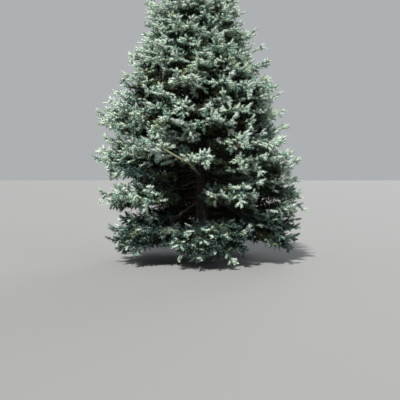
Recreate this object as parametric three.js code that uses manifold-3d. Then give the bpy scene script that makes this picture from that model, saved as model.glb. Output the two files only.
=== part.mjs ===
// A blue spruce, 7 m tall: one trunk to the tip, bare boughs low down, and the crown as separate masses of
// foliage. Millimetres, +Z up. The origin is the centre of the flat cut at ground level, and -Y is the side
// that faces the viewer.
import * as THREE from "three";
import { mergeVertices } from "three/addons/utils/BufferGeometryUtils.js";
import Module from "manifold-3d";

const wasm = await Module();
wasm.setup();

// The trunk: its height, how far its tip leans and how late, and its radius at heights from the ground to
// the tip. Flutes spread into the roots up to FLUTE_TOP.
const HEIGHT = 7000;
const TIP_LEAN_X = -170;
const TIP_LEAN_Y = 60;
const LEAN_CURVE = 1.4;
const TRUNK_PROFILE = [
  { height: 0, radius: 205 },
  { height: 70, radius: 176 },
  { height: 190, radius: 146 },
  { height: 420, radius: 127 },
  { height: 900, radius: 117 },
  { height: 1700, radius: 105 },
  { height: 4000, radius: 62 },
  { height: 5200, radius: 38 },
  { height: 6300, radius: 17 },
  { height: 7000, radius: 5 },
];
const TRUNK_SIDES = 12;
const ROOT_FLUTES = 5;
const FLUTE_DEPTH = 0.16;
const FLUTE_TOP = 420;
const FLUTE_TURN = 0.6;

// Clearances: between touching pieces of wood and foliage, and between two masses of foliage.
const SEAT_GAP = 0.35;
const MASS_GAP = 8;
const LOWEST_FOLIAGE = 14;

// How finely the solids are faceted, and the share of a primitive within which two points are one.
const MASS_AROUND = 9;
const MASS_ALONG = 6;
const BOUGH_SIDES = 6;
const BOUGH_STEPS = 3;
const SAME_POINT = 1e-5;
const POLE = 0.01;

// A mass of foliage: how blunt its ends are and how square its section is (1 is a plain ellipse), how
// uneven its skin and its outer edge are, and how much shallower it is at its tips.
const END_BLUNTNESS = 0.34;
const SECTION_SQUARENESS = 0.62;
const UNEVENNESS = 0.12;
const EDGE_UNEVENNESS = 0.1;
const TIP_DEPTH = 0.9;

// A low bough: how far it enters its mass, its taper, and the share of its rise in its inner half.
const BOUGH_IN_MASS = 45;
const BOUGH_TAPER = 0.4;
const EARLY_RISE = 0.3;

// The low tiers, where the trunk and the boughs show. Each mass hangs on a bough that leaves the trunk at
// the height "from". "turn" is in degrees from +X towards +Y, and "spread" is its half width in degrees.
// The mass runs from radius "inner" to "outer", its middle from height "near" to "far", "deep" to each side.
// "limb" is the bough's radius where it leaves the trunk.
const LOW_TIERS = {
  skirt: [
    { turn: 352, spread: 35, inner: 900, outer: 1950, from: 1290, near: 720, far: 610, deep: 580, limb: 32 },
    { turn: 64, spread: 37, inner: 700, outer: 1880, from: 1200, near: 660, far: 500, deep: 480, limb: 29 },
    { turn: 134, spread: 36, inner: 700, outer: 1860, from: 1260, near: 650, far: 490, deep: 470, limb: 28 },
    { turn: 204, spread: 36, inner: 740, outer: 1900, from: 1180, near: 600, far: 470, deep: 450, limb: 30 },
    { turn: 278, spread: 38, inner: 600, outer: 1780, from: 1130, near: 600, far: 430, deep: 420, limb: 27 },
  ],
  shoulder: [
    { turn: 356, spread: 36, inner: 700, outer: 1960, from: 1800, near: 1620, far: 1560, deep: 360, limb: 28 },
    { turn: 62, spread: 34, inner: 620, outer: 1880, from: 1720, near: 1500, far: 1420, deep: 340, limb: 26 },
    { turn: 128, spread: 34, inner: 640, outer: 1900, from: 1700, near: 1480, far: 1400, deep: 340, limb: 26 },
    { turn: 196, spread: 32, inner: 700, outer: 2080, from: 1560, near: 1290, far: 1230, deep: 230, limb: 25 },
    { turn: 302, spread: 38, inner: 300, outer: 1060, from: 1420, near: 1350, far: 1300, deep: 170, limb: 19 },
  ],
  arch: [
    { turn: 350, spread: 36, inner: 360, outer: 1760, from: 2280, near: 2230, far: 2230, deep: 310, limb: 26 },
    { turn: 52, spread: 32, inner: 400, outer: 1900, from: 2230, near: 2150, far: 2080, deep: 320, limb: 26 },
    { turn: 112, spread: 33, inner: 400, outer: 1920, from: 2200, near: 2130, far: 2060, deep: 320, limb: 26 },
    { turn: 182, spread: 42, inner: 600, outer: 2230, from: 1800, near: 2070, far: 2090, deep: 440, limb: 30 },
    { turn: 262, spread: 40, inner: 260, outer: 1240, from: 2080, near: 2100, far: 2040, deep: 200, limb: 19 },
  ],
};

// The close tiers above, where the foliage reaches the trunk. "left" and "right" are the radii on those
// sides, and the crown is as wide as their mean towards the viewer and away.
const CLOSE_TIERS = [
  { name: "tier_1", count: 5, turn: 180, near: 2760, far: 2680, left: 2200, right: 1700, deep: 320 },
  { name: "tier_2", count: 5, turn: 212, near: 3190, far: 3190, left: 1830, right: 1690, deep: 320 },
  { name: "tier_3", count: 4, turn: 178, near: 3620, far: 3730, left: 1550, right: 1430, deep: 325 },
  { name: "tier_4", count: 4, turn: 222, near: 4060, far: 4280, left: 1290, right: 1260, deep: 330 },
  { name: "tier_5", count: 4, turn: 170, near: 4500, far: 4800, left: 1080, right: 1030, deep: 320 },
  { name: "tier_6", count: 3, turn: 210, near: 4960, far: 5320, left: 830, right: 790, deep: 310 },
  { name: "tier_7", count: 3, turn: 150, near: 5430, far: 5840, left: 560, right: 540, deep: 290 },
];
const SECTOR_FILL = 0.97;
const CLOSE_INNER = 12;

// How unevenly the close masses of one tier reach out, as a share, and how unevenly they rise.
const UNEVEN_REACH = 0.04;
const UNEVEN_NEAR = 50;
const UNEVEN_FAR = 60;

// Each mass has a number of its own, which sets how its skin is uneven.
const FIRST_LOW_SEED = 3;
const FIRST_CLOSE_SEED = 31;
const SEEDS_A_TIER = 7;
const SPIRE_SEED = 91;

// The spire: one mass round the leader, "widest" at that share of its height.
const SPIRE = { from: 5820, to: 6940, radius: 330, widest: 0.25, fullness: 0.8 };

const BARK = new THREE.MeshStandardMaterial({ color: 0x4a3f36, roughness: 0.95, metalness: 0 });
const BOUGH_BARK = new THREE.MeshStandardMaterial({ color: 0x6b5a45, roughness: 0.9, metalness: 0 });
const FOLIAGE = new THREE.MeshStandardMaterial({ color: 0x7f9a8c, roughness: 0.8, metalness: 0 });

const radians = THREE.MathUtils.degToRad;

// A repeatable number from -1 to 1 for a place in a mass.
function uneven(seed, i, j) {
  const s = Math.sin(seed * 12.9898 + i * 78.233 + j * 37.719) * 43758.5453;
  return 2 * (s - Math.floor(s)) - 1;
}

// The middle of the trunk at a height.
function trunkMiddle(z) {
  const share = Math.pow(Math.max(z, 0) / HEIGHT, LEAN_CURVE);
  return new THREE.Vector3(TIP_LEAN_X * share, TIP_LEAN_Y * share, z);
}

// A primitive as one closed skin: its seams are merged, and slivers at its poles are dropped.
function sealed(geometry) {
  geometry.deleteAttribute("normal");
  geometry.deleteAttribute("uv");
  const skin = mergeVertices(geometry, SAME_POINT);
  const corners = skin.index.array;
  const kept = [];
  for (let i = 0; i < corners.length; i += 3) {
    const [a, b, c] = corners.slice(i, i + 3);
    if (a !== b && b !== c && c !== a) kept.push(a, b, c);
  }
  skin.setIndex(kept);
  return skin;
}

function solidOf(geometry) {
  return new wasm.Manifold(
    new wasm.Mesh({
      numProp: 3,
      vertProperties: new Float32Array(geometry.attributes.position.array),
      triVerts: new Uint32Array(geometry.index.array),
    }),
  );
}

function geometryOf(solid) {
  const mesh = solid.getMesh();
  const geometry = new THREE.BufferGeometry();
  geometry.setAttribute("position", new THREE.BufferAttribute(new Float32Array(mesh.vertProperties), 3));
  geometry.setIndex(new THREE.BufferAttribute(new Uint32Array(mesh.triVerts), 1));
  geometry.computeVertexNormals();
  return geometry;
}

function moveEach(geometry, place) {
  const position = geometry.getAttribute("position");
  const point = new THREE.Vector3();
  for (let i = 0; i < position.count; i++) {
    point.fromBufferAttribute(position, i);
    place(point, i);
    position.setXYZ(i, point.x, point.y, point.z);
  }
  return geometry;
}

// The trunk is a lathe of its profile, fluted at the root flare and carried along its lean.
function trunkSolid(grow = 0) {
  const top = TRUNK_PROFILE[TRUNK_PROFILE.length - 1].height + grow;
  const profile = [new THREE.Vector2(0, 0)];
  for (const ring of TRUNK_PROFILE) profile.push(new THREE.Vector2(ring.radius + grow, ring.height));
  profile[profile.length - 1].y = top;
  profile.push(new THREE.Vector2(0, top));
  const geometry = sealed(new THREE.LatheGeometry(profile, TRUNK_SIDES).rotateX(Math.PI / 2));
  moveEach(geometry, (point) => {
    const near = Math.max(0, 1 - point.z / FLUTE_TOP);
    const turn = Math.atan2(point.y, point.x);
    const flute = 1 + FLUTE_DEPTH * near * near * Math.cos(ROOT_FLUTES * turn + FLUTE_TURN);
    const middle = trunkMiddle(point.z);
    point.x = point.x * flute + middle.x;
    point.y = point.y * flute + middle.y;
  });
  return solidOf(geometry);
}

// A share from -1 to 1, pushed outwards to square a round section.
function squared(share) {
  return Math.sign(share) * Math.pow(Math.abs(share), SECTION_SQUARENESS);
}

// A mass of foliage is a sphere drawn out along its bough into a blunt, uneven wedge. Its poles are its
// inner and outer ends, and its width is an angle round the trunk. "grow" makes it larger on every side.
function massSolid(mass, grow = 0) {
  const geometry = sealed(new THREE.SphereGeometry(1, MASS_AROUND, MASS_ALONG).rotateZ(Math.PI / 2));
  const spread = radians(mass.spread) + grow / mass.outer;
  moveEach(geometry, (point, i) => {
    const along = (point.x + 1) / 2;
    const round = Math.hypot(point.y, point.z);
    const swell = Math.pow(round, END_BLUNTNESS) * (1 + UNEVENNESS * uneven(mass.seed, i, 1));
    const full = round > POLE ? swell : 0;
    const side = full * squared(point.y / Math.max(round, POLE));
    const rise = full * squared(point.z / Math.max(round, POLE));
    const ragged = EDGE_UNEVENNESS * along * Math.min(1, round * 2);
    const reach = mass.outer * (1 + ragged * uneven(mass.seed, i, 2));
    const radius = mass.inner - grow + (reach - mass.inner + 2 * grow) * along;
    const turn = radians(mass.turn) + side * spread;
    const middle = mass.near + (mass.far - mass.near) * along;
    const depth = (mass.deep + grow) * (1 - (1 - TIP_DEPTH) * along);
    const z = Math.max(LOWEST_FOLIAGE - grow, middle + rise * depth);
    const trunk = trunkMiddle(z);
    point.set(trunk.x + radius * Math.cos(turn), trunk.y + radius * Math.sin(turn), z);
  });
  return solidOf(geometry);
}

// The route of a low bough, from inside the trunk to just inside its mass. It leaves level and then bends.
function boughRoute(mass) {
  const reach = mass.inner + BOUGH_IN_MASS;
  const turn = radians(mass.turn);
  const at = (radius, z) => {
    const trunk = trunkMiddle(z);
    return new THREE.Vector3(trunk.x + radius * Math.cos(turn), trunk.y + radius * Math.sin(turn), z);
  };
  const rise = mass.near - mass.from;
  return new THREE.QuadraticBezierCurve3(
    at(0, mass.from),
    at(reach * 0.5, mass.from + rise * EARLY_RISE),
    at(reach, mass.near),
  );
}

// A bough is a cylinder bent along its route, thinner at the far end.
function boughSolid(mass, grow = 0) {
  const route = boughRoute(mass);
  const cylinder = new THREE.CylinderGeometry(1, 1, 1, BOUGH_SIDES, BOUGH_STEPS);
  const geometry = sealed(cylinder.rotateZ(-Math.PI / 2));
  const across = new THREE.Vector3(-Math.sin(radians(mass.turn)), Math.cos(radians(mass.turn)), 0);
  moveEach(geometry, (point) => {
    const along = point.x + 0.5;
    const radius = mass.limb * (1 - BOUGH_TAPER * along) + grow;
    const middle = route.getPoint(along);
    const ahead = route.getTangent(along);
    const up = new THREE.Vector3().crossVectors(ahead, across).normalize();
    if (along === 1) middle.addScaledVector(ahead, grow);
    middle.addScaledVector(across, point.y * radius);
    middle.addScaledVector(up, point.z * radius);
    point.copy(middle);
  });
  return solidOf(geometry);
}

// The crown's radius in a direction, between its radii to the left, to the right, and their mean.
function tierRadius(tier, turn) {
  const mean = (tier.left + tier.right) / 2;
  return mean + ((tier.right - tier.left) / 2) * Math.cos(radians(turn));
}

function closeMasses() {
  const masses = [];
  CLOSE_TIERS.forEach((tier, number) => {
    for (let k = 0; k < tier.count; k++) {
      const seed = FIRST_CLOSE_SEED + number * SEEDS_A_TIER + k;
      const turn = (tier.turn + (360 / tier.count) * k) % 360;
      masses.push({
        name: `foliage_${tier.name}_${k + 1}`,
        seed,
        turn,
        spread: (180 / tier.count) * SECTOR_FILL,
        inner: CLOSE_INNER,
        outer: tierRadius(tier, turn) * (1 + UNEVEN_REACH * uneven(seed, 1, 1)),
        near: tier.near + UNEVEN_NEAR * uneven(seed, 2, 1),
        far: tier.far + UNEVEN_FAR * uneven(seed, 3, 1),
        deep: tier.deep,
      });
    }
  });
  return masses;
}

function lowMasses() {
  const masses = [];
  for (const [tier, rows] of Object.entries(LOW_TIERS)) {
    rows.forEach((row, k) => {
      const seed = FIRST_LOW_SEED + masses.length;
      masses.push({ ...row, name: `foliage_${tier}_${k + 1}`, boughName: `bough_${tier}_${k + 1}`, seed });
    });
  }
  return masses;
}

// The spire is a lathe round the leader, uneven like the other masses.
function spireSolid() {
  const length = SPIRE.to - SPIRE.from;
  const profile = [];
  for (let i = 0; i <= MASS_ALONG; i++) {
    const share = i / MASS_ALONG;
    const swell = share < SPIRE.widest ? share / SPIRE.widest : (1 - share) / (1 - SPIRE.widest);
    const radius = i === 0 || i === MASS_ALONG ? 0 : SPIRE.radius * Math.pow(swell, SPIRE.fullness);
    profile.push(new THREE.Vector2(radius, SPIRE.from + share * length));
  }
  const geometry = sealed(new THREE.LatheGeometry(profile, MASS_AROUND).rotateX(Math.PI / 2));
  moveEach(geometry, (point, i) => {
    const skin = 1 + UNEVENNESS * uneven(SPIRE_SEED, i, 1);
    const middle = trunkMiddle(point.z);
    point.x = point.x * skin + middle.x;
    point.y = point.y * skin + middle.y;
  });
  return solidOf(geometry);
}

function largestBody(solid) {
  const bodies = solid.decompose();
  bodies.sort((a, b) => b.volume() - a.volume());
  return bodies[0];
}

function buildTree() {
  const tree = new THREE.Group();
  const add = (name, solid, material) => {
    const mesh = new THREE.Mesh(geometryOf(solid), material);
    mesh.name = name;
    tree.add(mesh);
  };

  add("trunk", trunkSolid(), BARK);
  const roomForTrunk = trunkSolid(SEAT_GAP);

  const low = lowMasses();
  const roomForBoughs = [];
  for (const mass of low) {
    add(mass.boughName, largestBody(boughSolid(mass).subtract(roomForTrunk)), BOUGH_BARK);
    roomForBoughs.push(boughSolid(mass, SEAT_GAP));
  }

  // Each mass is cut round the trunk, the low boughs and the masses below it.
  const below = [];
  const addMass = (name, raw, grown) => {
    let solid = raw.subtract(roomForTrunk);
    for (const room of [...roomForBoughs, ...below]) {
      if (solid.intersect(room).volume() > 0) solid = solid.subtract(room);
    }
    add(name, largestBody(solid), FOLIAGE);
    if (grown) below.push(grown);
  };
  for (const mass of [...low, ...closeMasses()]) {
    addMass(mass.name, massSolid(mass), massSolid(mass, MASS_GAP));
  }
  addMass("foliage_spire", spireSolid(), null);
  return tree;
}

export default buildTree();
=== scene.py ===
import math
import random

import bpy
import numpy as np
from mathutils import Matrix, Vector
from mathutils.bvhtree import BVHTree


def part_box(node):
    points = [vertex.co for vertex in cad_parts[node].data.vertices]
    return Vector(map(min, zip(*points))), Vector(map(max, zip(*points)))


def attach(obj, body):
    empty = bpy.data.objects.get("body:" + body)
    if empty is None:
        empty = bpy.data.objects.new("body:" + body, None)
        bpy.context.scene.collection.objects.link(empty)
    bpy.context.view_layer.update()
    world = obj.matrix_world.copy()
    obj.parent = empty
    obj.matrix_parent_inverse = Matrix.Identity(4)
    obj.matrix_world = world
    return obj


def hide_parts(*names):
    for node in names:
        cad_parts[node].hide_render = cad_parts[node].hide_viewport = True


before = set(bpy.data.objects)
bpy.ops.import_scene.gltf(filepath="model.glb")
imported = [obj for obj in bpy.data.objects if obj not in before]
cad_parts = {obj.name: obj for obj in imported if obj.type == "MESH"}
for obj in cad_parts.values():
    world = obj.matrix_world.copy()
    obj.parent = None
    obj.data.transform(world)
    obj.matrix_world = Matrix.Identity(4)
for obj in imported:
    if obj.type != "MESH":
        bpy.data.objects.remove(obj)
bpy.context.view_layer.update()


# The camera stands where the viewer of the photograph stands: at eye height on level ground, in front of
# the trunk, looking a little down. The picture is 400 pixels square, and its top edge cuts the tree.
PICTURE_SIZE = 400
FOCAL_PIXELS = 580
HORIZON_ROW = 178
TRUNK_COLUMN = 202.5
EYE_HEIGHT = 1.6
STAND_OFF = 11.37
SENSOR_WIDTH = 36.0

camera = bpy.data.objects.new("viewer", bpy.data.cameras.new("viewer"))
bpy.context.scene.collection.objects.link(camera)
camera.data.sensor_width = SENSOR_WIDTH
camera.data.lens = SENSOR_WIDTH * FOCAL_PIXELS / PICTURE_SIZE
off_centre = (TRUNK_COLUMN - PICTURE_SIZE / 2) / FOCAL_PIXELS * STAND_OFF
camera.location = (-off_centre, -STAND_OFF, EYE_HEIGHT)
tilt_down = math.atan((PICTURE_SIZE / 2 - HORIZON_ROW) / FOCAL_PIXELS)
camera.rotation_euler = (math.radians(90) - tilt_down, 0, 0)
bpy.context.scene.camera = camera


# The studio: a pale floor that runs out to the horizon, pale air of the same tone, and far, soft lamps. The
# strong one stands high on the left, a little in front, and the weak ones keep the far sides readable.
FLOOR_RADIUS = 400
FLOOR_SIDES = 128
FLOOR_DROP = 0.001
FLOOR_COLOR = (0.180, 0.184, 0.188)
FLOOR_ROUGHNESS = 0.9
AIR_COLOR = (0.94, 0.97, 1.0)
AIR_STRENGTH = 0.45
LAMPS = {
    "key": {"towards": (-0.25, -0.62, 0.88), "strength": 7.35, "softness": 4, "color": (1.0, 0.97, 0.91)},
    "fill": {"towards": (0.75, -0.55, 0.35), "strength": 0.35, "softness": 40, "color": (0.9, 0.95, 1.0)},
    "back": {"towards": (0.35, 0.85, 0.5), "strength": 0.9, "softness": 30, "color": (0.95, 0.97, 1.0)},
}

bpy.ops.mesh.primitive_circle_add(
    vertices=FLOOR_SIDES, radius=FLOOR_RADIUS, fill_type="NGON", location=(0, 0, -FLOOR_DROP)
)
floor = bpy.context.object
floor.name = "floor"
floor_paint = bpy.data.materials.new("pale_floor")
floor_paint.use_nodes = True
floor_shader = floor_paint.node_tree.nodes["Principled BSDF"]
floor_shader.inputs["Base Color"].default_value = (*FLOOR_COLOR, 1)
floor_shader.inputs["Roughness"].default_value = FLOOR_ROUGHNESS
floor.data.materials.append(floor_paint)

air = bpy.data.worlds.new("pale_air")
air.use_nodes = True
background = air.node_tree.nodes["Background"]
background.inputs["Color"].default_value = (*AIR_COLOR, 1)
background.inputs["Strength"].default_value = AIR_STRENGTH
bpy.context.scene.world = air
bpy.context.scene.view_settings.view_transform = "Standard"

for lamp_name, lamp in LAMPS.items():
    light = bpy.data.objects.new(lamp_name, bpy.data.lights.new(lamp_name, "SUN"))
    bpy.context.scene.collection.objects.link(light)
    light.data.energy = lamp["strength"]
    light.data.angle = math.radians(lamp["softness"])
    light.data.color = lamp["color"]
    light.rotation_euler = Vector(lamp["towards"]).to_track_quat("Z", "Y").to_euler()


# The trunk: a straight, tapering stem in thin grey-brown bark that splits into small scales. Its bark
# colours are darkened towards black as painted shade, for the shade of the crown round it. It is drawn up
# ring by ring from its flat foot, fluted where the roots spread, and the scales are raised in its mesh.
TRUNK_SIDES = 20
SAME_RING = 0.002
RING_STEP_LOW = 0.045
RING_STEP_HIGH = 0.16
CLEAR_STEM = 2.4
ROOT_FLUTES = 5
FLUTE_DEPTH = 0.16
FLUTE_TOP = 0.42
FLUTE_TURN = 0.6
SMOOTHING = 2
BARK_SCALES = 0.034
BARK_RELIEF = 0.012
BARK_SWELL_SIZE = 0.16
BARK_SWELL = 0.014
# Painted shade: the trunk's bark colours are kept near black for the shade that it stands in.
TRUNK_BARK_AND_SHADE = {"crack": (0.010, 0.008, 0.007), "scale": (0.050, 0.041, 0.035), "worn": (0.10, 0.09, 0.08)}
TRUNK_GRAIN = 0.05


def node_points(node):
    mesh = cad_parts[node].data
    points = np.empty(len(mesh.vertices) * 3)
    mesh.vertices.foreach_get("co", points)
    return points.reshape(-1, 3)


# The middle and the radius of the trunk at each height where its solid has a ring.
trunk_points = node_points("trunk")
ring_heights = np.unique(np.round(trunk_points[:, 2], 3))
ring_middles = []
ring_radii = []
for height in ring_heights:
    ring = trunk_points[np.abs(trunk_points[:, 2] - height) < SAME_RING]
    middle = (ring.min(0) + ring.max(0)) / 2
    ring_middles.append(middle[:2])
    ring_radii.append(np.median(np.hypot(*(ring[:, :2] - middle[:2]).T)))
ring_middles = np.array(ring_middles)
tree_height = float(ring_heights[-1])


def trunk_middle(z):
    x = np.interp(z, ring_heights, ring_middles[:, 0])
    y = np.interp(z, ring_heights, ring_middles[:, 1])
    return Vector((x, y, z))


def trunk_radius(z):
    return float(np.interp(z, ring_heights, ring_radii))


def deselect_all():
    bpy.ops.object.select_all(action="DESELECT")


def apply_modifiers(piece):
    bpy.context.view_layer.objects.active = piece
    for modifier in list(piece.modifiers):
        bpy.ops.object.modifier_apply(modifier=modifier.name)


def raise_bark(piece, swell_size, swell, scale_size, relief):
    """Raises wide swellings and small scales in a mesh, when its modifiers are applied."""
    for kind, size, strength in (("CLOUDS", swell_size, swell), ("VORONOI", scale_size, relief)):
        pattern = bpy.data.textures.new(piece.name + "_" + kind.lower(), kind)
        pattern.noise_scale = size
        lift = piece.modifiers.new(kind.lower(), "DISPLACE")
        lift.texture = pattern
        lift.texture_coords = "LOCAL"
        lift.strength = strength
        lift.mid_level = 0.5


BARK_ROUGHNESS = 0.92
BARK_STRETCH = (1, 1, 0.55)
CRACK_WIDTH = 0.16
PATCH_SCALE = 9
PATCH_DETAIL = 6
WEAR_FROM = 0.52
WEAR_TO = 0.72
MOST_WEAR = 0.75
BUMP_STRENGTH = 0.5
BUMP_HEIGHT = 0.004


def bark_material(name, colors, grain):
    """Bark in scales as large as the grain, with dark cracks between them, and worn paler in patches."""
    bark = bpy.data.materials.new(name)
    bark.use_nodes = True
    nodes = bark.node_tree.nodes
    links = bark.node_tree.links
    shader = nodes["Principled BSDF"]
    shader.inputs["Roughness"].default_value = BARK_ROUGHNESS
    place = nodes.new("ShaderNodeTexCoord")
    stretch = nodes.new("ShaderNodeMapping")
    stretch.inputs["Scale"].default_value = BARK_STRETCH
    scales = nodes.new("ShaderNodeTexVoronoi")
    scales.feature = "DISTANCE_TO_EDGE"
    scales.inputs["Scale"].default_value = 1 / grain
    patches = nodes.new("ShaderNodeTexNoise")
    patches.inputs["Scale"].default_value = PATCH_SCALE
    patches.inputs["Detail"].default_value = PATCH_DETAIL
    crack_ramp = nodes.new("ShaderNodeValToRGB")
    crack_ramp.color_ramp.elements[0].color = (*colors["crack"], 1)
    crack_ramp.color_ramp.elements[1].color = (*colors["scale"], 1)
    crack_ramp.color_ramp.elements[1].position = CRACK_WIDTH
    wear = nodes.new("ShaderNodeMix")
    wear.data_type = "RGBA"
    wear.inputs["B"].default_value = (*colors["worn"], 1)
    wear_share = nodes.new("ShaderNodeMapRange")
    wear_share.inputs["From Min"].default_value = WEAR_FROM
    wear_share.inputs["From Max"].default_value = WEAR_TO
    wear_share.inputs["To Max"].default_value = MOST_WEAR
    bump = nodes.new("ShaderNodeBump")
    bump.inputs["Strength"].default_value = BUMP_STRENGTH
    bump.inputs["Distance"].default_value = BUMP_HEIGHT
    links.new(place.outputs["Object"], stretch.inputs["Vector"])
    links.new(stretch.outputs["Vector"], scales.inputs["Vector"])
    links.new(place.outputs["Object"], patches.inputs["Vector"])
    links.new(scales.outputs["Distance"], crack_ramp.inputs["Fac"])
    links.new(patches.outputs["Fac"], wear_share.inputs["Value"])
    links.new(wear_share.outputs["Result"], wear.inputs["Factor"])
    links.new(crack_ramp.outputs["Color"], wear.inputs["A"])
    links.new(wear.outputs["Result"], shader.inputs["Base Color"])
    links.new(patches.outputs["Fac"], bump.inputs["Height"])
    links.new(bump.outputs["Normal"], shader.inputs["Normal"])
    return bark


deselect_all()
foot = trunk_middle(0)
bpy.ops.mesh.primitive_circle_add(
    vertices=TRUNK_SIDES, radius=trunk_radius(0), fill_type="NGON", location=(foot.x, foot.y, 0)
)
trunk = bpy.context.object
trunk.name = "bark_trunk"
bpy.ops.object.mode_set(mode="EDIT")
below = 0.0
while below < tree_height:
    step = RING_STEP_LOW if below < CLEAR_STEM else RING_STEP_HIGH
    above = min(below + step, tree_height)
    bpy.ops.mesh.extrude_region_move(
        TRANSFORM_OT_translate={"value": trunk_middle(above) - trunk_middle(below)}
    )
    shrink = trunk_radius(above) / trunk_radius(below)
    bpy.ops.transform.resize(value=(shrink, shrink, 1), center_override=trunk_middle(above))
    below = above
bpy.ops.mesh.select_all(action="SELECT")
bpy.ops.mesh.normals_make_consistent(inside=False)
bpy.ops.object.mode_set(mode="OBJECT")

# The flutes run out at their top, and the foot stays flat on the ground.
bpy.ops.object.transform_apply(location=True, rotation=False, scale=False)
for vertex in trunk.data.vertices:
    middle = trunk_middle(vertex.co.z)
    near = max(0.0, 1 - vertex.co.z / FLUTE_TOP)
    turn = math.atan2(vertex.co.y - middle.y, vertex.co.x - middle.x)
    flute = 1 + FLUTE_DEPTH * near * near * math.cos(ROOT_FLUTES * turn + FLUTE_TURN)
    vertex.co.x = middle.x + (vertex.co.x - middle.x) * flute
    vertex.co.y = middle.y + (vertex.co.y - middle.y) * flute
smooth = trunk.modifiers.new("smooth", "SUBSURF")
smooth.levels = SMOOTHING
smooth.render_levels = SMOOTHING
raise_bark(trunk, BARK_SWELL_SIZE, BARK_SWELL, BARK_SCALES, BARK_RELIEF)
apply_modifiers(trunk)
for vertex in trunk.data.vertices:
    vertex.co.z = max(vertex.co.z, 0.0)
trunk.data.materials.append(bark_material("trunk_bark", TRUNK_BARK_AND_SHADE, TRUNK_GRAIN))
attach(trunk, "root")
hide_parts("trunk")


# The low boughs: bare, tapering limbs in thin tan-grey bark, which carry the lowest foliage. Each is drawn
# as a tube along the middle line of its solid, swollen where it leaves the trunk, and knobbed as bark is.
LIMB_STATIONS = 6
LIMB_STEPS = 10
LIMB_ROUNDNESS = 3
LIMB_IN_TRUNK = 0.05
COLLAR = 1.5
LIMB_SWELL_SIZE = 0.09
LIMB_SWELL = 0.012
LIMB_SCALES = 0.02
LIMB_RELIEF = 0.004
BOUGH_BARK = {"crack": (0.016, 0.012, 0.010), "scale": (0.075, 0.058, 0.044), "worn": (0.16, 0.13, 0.10)}
BOUGH_GRAIN = 0.022


def trunk_offsets(points):
    """How each point lies from the middle of the trunk at its own height."""
    return np.array([point - np.array(trunk_middle(point[2])) for point in points])


bough_bark = bark_material("bough_bark", BOUGH_BARK, BOUGH_GRAIN)
limb_lines = {}
limb_sizes = {}
for node in sorted(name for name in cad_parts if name.startswith("bough_")):
    points = node_points(node)
    reach = np.hypot(*trunk_offsets(points)[:, :2].T)
    curve = np.polyfit(reach, points, 2)
    middles = np.stack([np.polyval(curve[:, axis], reach) for axis in range(3)], axis=1)
    taper = np.polyfit(reach, np.linalg.norm(points - middles, axis=1), 1)
    stations = np.linspace(reach.min() - LIMB_IN_TRUNK, reach.max(), LIMB_STATIONS)
    line = np.stack([np.polyval(curve[:, axis], stations) for axis in range(3)], axis=1)
    limb_lines[node] = [Vector(place) for place in line]
    limb_sizes[node] = float(np.polyval(taper, stations[-1]))
    deselect_all()
    bpy.ops.curve.primitive_bezier_curve_add()
    limb = bpy.context.object
    limb.name = node.replace("bough", "limb")
    spline = limb.data.splines[0]
    spline.bezier_points.add(LIMB_STATIONS - 2)
    for number, (joint, place, station) in enumerate(zip(spline.bezier_points, line, stations)):
        joint.co = place
        joint.handle_left_type = joint.handle_right_type = "AUTO"
        joint.radius = float(np.polyval(taper, station)) * (COLLAR if number == 0 else 1)
    limb.data.bevel_depth = 1
    limb.data.bevel_resolution = LIMB_ROUNDNESS
    limb.data.resolution_u = LIMB_STEPS
    limb.data.use_fill_caps = True
    bpy.ops.object.convert(target="MESH")
    limb = bpy.context.object
    raise_bark(limb, LIMB_SWELL_SIZE, LIMB_SWELL, LIMB_SCALES, LIMB_RELIEF)
    apply_modifiers(limb)
    limb.data.materials.clear()
    limb.data.materials.append(bough_bark)
    bpy.ops.object.shade_smooth()
    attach(limb, "root")
    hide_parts(node)


# The wood inside the crown: boughs that leave the trunk or a low limb, and flat sprays of shoots on them.
# Each grows until it comes near the skin of its mass, so the crown keeps its outline and its gaps. A pair
# of values is a middle and how far it varies to either side.
SEED = 20
TIER_ROOF = 0.32
LOW_ROOF = 0.2
NEAR_SHARE = 0.35
FAR_SHARE = 0.65

dice = random.Random(SEED)
UP = Vector((0, 0, 1))


def varied(middle, spread):
    return dice.uniform(middle - spread, middle + spread)


def turn_between(first, second):
    return abs((first - second + math.pi) % (2 * math.pi) - math.pi)


def outward_at(turn):
    return Vector((math.cos(turn), math.sin(turn), 0))


class Mass:
    """One foliage solid: where it lies round the trunk, and how far it is to its skin.

    near and far are its middle heights at the trunk and at the tips, and deep is half its height there.
    """

    def __init__(self, node):
        self.node = node
        name = node.replace("foliage_", "")
        self.zone = name.rsplit("_", 1)[0] if name[-1].isdigit() else name
        self.roof = TIER_ROOF if name.startswith("tier") else LOW_ROOF
        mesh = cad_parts[node].data
        self.skin = BVHTree.FromPolygons([v.co for v in mesh.vertices], [p.vertices for p in mesh.polygons])
        points = node_points(node)
        offsets = trunk_offsets(points)
        reach = np.hypot(offsets[:, 0], offsets[:, 1])
        turns = np.arctan2(offsets[:, 1], offsets[:, 0])
        outer = reach > np.median(reach)
        self.turn = math.atan2(np.sin(turns[outer]).mean(), np.cos(turns[outer]).mean())
        self.spread = float(turn_between(turns[outer], self.turn).max())
        self.outer = float(reach.max())
        inner = float(reach.min())
        near_heights = points[reach < inner + NEAR_SHARE * (self.outer - inner), 2]
        far_heights = points[reach > inner + FAR_SHARE * (self.outer - inner), 2]
        self.near = float((near_heights.min() + near_heights.max()) / 2)
        self.far = float((far_heights.min() + far_heights.max()) / 2)
        self.deep = float(np.ptp(far_heights)) / 2

    def room(self, start, heading):
        """How far it is from start along heading to where the mass ends, and 0 outside it."""
        place, normal, _, distance = self.skin.ray_cast(start, heading)
        if place is None or normal.dot(heading) < 0:
            return 0.0
        return distance

    def shade(self, place):
        """How deep a place lies in the crown, by the shorter way out: sideways, or up through the roof."""
        outward = place - trunk_middle(place.z)
        return min(self.room(place, outward.normalized()), self.room(place, UP) + self.roof)


masses = [Mass(node) for node in sorted(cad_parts) if node.startswith("foliage_")]


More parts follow.
